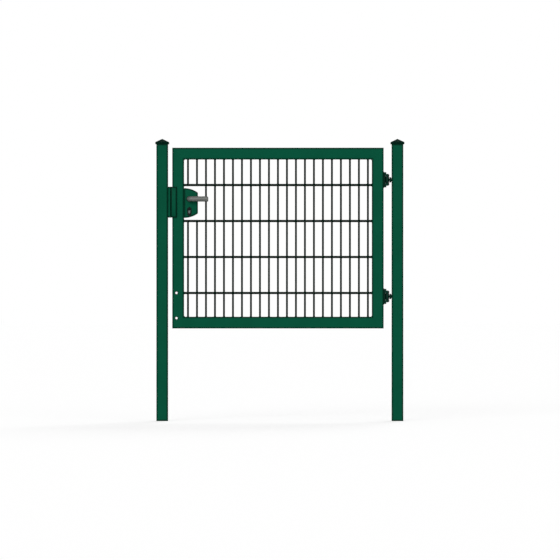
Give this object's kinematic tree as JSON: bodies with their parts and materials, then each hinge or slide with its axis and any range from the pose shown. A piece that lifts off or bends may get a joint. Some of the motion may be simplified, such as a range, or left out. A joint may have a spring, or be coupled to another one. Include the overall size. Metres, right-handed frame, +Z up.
{
  "type": "tubular frame gate",
  "caption": "Single-leaf garden and fence gate: a mitred tubular frame filled with double-wire mesh, with lock, lever handles and keep, hung on hinges between capped square posts.",
  "frame": {"origin": "centre of the hinge post's foot, at the lower end of its tube", "axes": "+X along the gate towards the right as the lock is seen on the left, +Y through the gate to the side the leaf opens to, +Z up the posts"},
  "size_m": [1.383, 0.14, 1.568],
  "materials": {
    "green_coat": "moss green powder coat, satin",
    "mesh_coat": "dark green powder coat, satin",
    "cap_plastic": "near-black green plastic",
    "hinge_coat": "near-black green coat",
    "buffer_rubber": "black rubber",
    "lock_steel": "stainless steel, brushed",
    "cylinder_metal": "nickel-plated, satin",
    "black_plastic": "black plastic",
    "handle_metal": "grey anodised aluminium, satin"
  },
  "bodies": {
    "posts": {"latch_post": "green_coat", "hinge_post": "green_coat", "latch_post_cap": "cap_plastic", "hinge_post_cap": "cap_plastic", "keep_channel": "green_coat", "stop_angle": "green_coat", "stop_buffers": "buffer_rubber", "lower_eye_bolt": "hinge_coat", "upper_eye_bolt": "hinge_coat", "lower_lock_nut": "hinge_coat", "upper_lock_nut": "hinge_coat", "lower_post_bush": "green_coat", "upper_post_bush": "green_coat"},
    "leaf": {"lock_stile": "green_coat", "hinge_stile": "green_coat", "top_rail": "green_coat", "bottom_rail": "green_coat", "mesh_panel": "mesh_coat", "lock_case": "green_coat", "lock_forend": "lock_steel", "latch_bolt": "lock_steel", "dead_bolt": "lock_steel", "lock_cylinder": "cylinder_metal", "front_escutcheon": "black_plastic", "back_escutcheon": "black_plastic", "lower_hinge_plate": "hinge_coat", "upper_hinge_plate": "hinge_coat", "lower_hinge_bracket": "hinge_coat", "upper_hinge_bracket": "hinge_coat", "lower_hinge_pin": "lock_steel", "upper_hinge_pin": "lock_steel"},
    "handle": {"front_handle": "handle_metal", "back_handle": "handle_metal", "spindle": "lock_steel"}
  },
  "joints": [
    {"name": "leaf_swing", "type": "hinge", "parent": "posts", "child": "leaf", "pos_m": [-0.057, 0, 1.016], "axis": [0, 0, -1], "range_deg": [0, 90]},
    {"name": "handle_turn", "type": "hinge", "parent": "leaf", "child": "handle", "pos_m": [-1.156, 0, 1.2335], "axis": [0, 1, 0], "range_deg": [0, 40], "stiffness_Nm_per_rad": 1.5, "springref_deg": -28.65}
  ]
}
